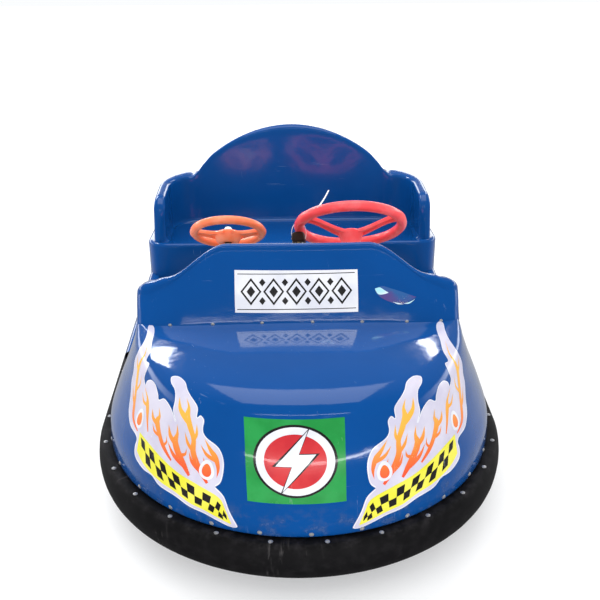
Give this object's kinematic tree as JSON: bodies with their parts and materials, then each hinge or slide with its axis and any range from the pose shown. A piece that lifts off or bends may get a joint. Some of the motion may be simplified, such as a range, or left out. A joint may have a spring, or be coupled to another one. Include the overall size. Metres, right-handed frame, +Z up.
{
  "type": "bumper car",
  "caption": "Battery bumper car for a driver and a child: glass-fibre hood, cowl and seat tub on a steel frame, ringed by a rubber bumper, with a swivelling driven front wheel.",
  "frame": {"origin": "on the floor under the middle of the rubber bumper ring", "axes": "+Z up; +Y towards the tail along the car's length, so the nose faces -Y; +X towards the driver's side (the car's left)"},
  "size_m": [1.18, 1.9598, 0.765],
  "materials": {
    "blue_gelcoat": "gloss gelcoat on glass fibre",
    "bumper_rubber": "matt moulded rubber, scuffed",
    "tyre_rubber": "solid rubber",
    "frame_paint": "satin black paint",
    "floor_sheet": "raised-pattern sheet",
    "dash_black": "fine grain",
    "battery_case": "moulded case",
    "bright_steel": "turned and zinc plated",
    "cast_housing": "sand cast",
    "motor_case": "satin paint",
    "wheel_hub": "silver paint",
    "red_plastic": "moulded, semi-gloss",
    "orange_plastic": "moulded, semi-gloss",
    "white_plastic": "moulded, semi-gloss"
  },
  "bodies": {
    "root": {"chassis_frame": "frame_paint", "bumper_hoop": "frame_paint", "rubber_bumper": "bumper_rubber", "floor_pan": "floor_sheet", "bulkhead": "frame_paint", "front_hood": "blue_gelcoat", "dash_cowl": "blue_gelcoat", "dash_panel": "dash_black", "side_sill_left": "blue_gelcoat", "side_sill_right": "blue_gelcoat", "seat_base": "blue_gelcoat", "seat_pan": "blue_gelcoat", "seat_surround": "blue_gelcoat", "battery_tray": "frame_paint", "battery_left": "battery_case", "battery_right": "battery_case", "control_box": "dash_black", "charging_socket": "dash_black", "rear_axle": "bright_steel", "rear_axle_brackets": "frame_paint", "swivel_plate": "frame_paint", "swivel_bearing": "cast_housing", "steering_column": "frame_paint", "bevel_box": "cast_housing", "column_shelf": "frame_paint", "steering_chain": "bright_steel", "child_column": "frame_paint", "accelerator_pedal": "dash_black", "pedal_base": "dash_black"},
    "drive_fork": {"drive_fork": "frame_paint", "front_axle": "bright_steel", "drive_gearbox": "cast_housing", "drive_motor": "motor_case", "fork_sprocket": "bright_steel"},
    "front_wheel": {"front_hub": "wheel_hub", "front_tyre": "tyre_rubber"},
    "rear_wheel_left": {"rear_hub_left": "wheel_hub", "rear_tyre_left": "tyre_rubber"},
    "rear_wheel_right": {"rear_hub_right": "wheel_hub", "rear_tyre_right": "tyre_rubber"},
    "driver_wheel": {"driver_steering_wheel": "red_plastic", "driver_steering_shaft": "bright_steel"},
    "steering_output": {"output_sprocket": "bright_steel"},
    "child_wheel": {"child_steering_wheel": "orange_plastic", "child_wheel_cap": "white_plastic"}
  },
  "joints": [
    {"name": "drive_swivel", "type": "hinge", "parent": "root", "child": "drive_fork", "pos_m": [0, -0.62, 0.3], "axis": [0, 0, 1], "range_deg": [-180, 180]},
    {"name": "front_wheel_spin", "type": "hinge", "parent": "drive_fork", "child": "front_wheel", "pos_m": [0, -0.62, 0.11], "axis": [1, 0, 0], "continuous": true},
    {"name": "rear_wheel_left_spin", "type": "hinge", "parent": "root", "child": "rear_wheel_left", "pos_m": [0.44, 0.66, 0.1], "axis": [1, 0, 0], "continuous": true},
    {"name": "rear_wheel_right_spin", "type": "hinge", "parent": "root", "child": "rear_wheel_right", "pos_m": [-0.44, 0.66, 0.1], "axis": [1, 0, 0], "continuous": true},
    {"name": "driver_wheel_turn", "type": "hinge", "parent": "root", "child": "driver_wheel", "pos_m": [0.174, -0.00461, 0.6427], "axis": [0, 0.6561, 0.7547], "range_deg": [-180, 180]},
    {"name": "output_sprocket_turn", "type": "hinge", "parent": "root", "child": "steering_output", "pos_m": [0.174, -0.21558, 0.329], "axis": [0, 0, 1], "range_deg": [-180, 180]},
    {"name": "child_wheel_spin", "type": "hinge", "parent": "root", "child": "child_wheel", "pos_m": [-0.2125, -0.00461, 0.625], "axis": [0, 0.6561, 0.7547], "continuous": true}
  ],
  "couplings": [
    {"joint": "driver_wheel_turn", "follows": "drive_swivel", "ratio": 1},
    {"joint": "output_sprocket_turn", "follows": "drive_swivel", "ratio": 1}
  ]
}
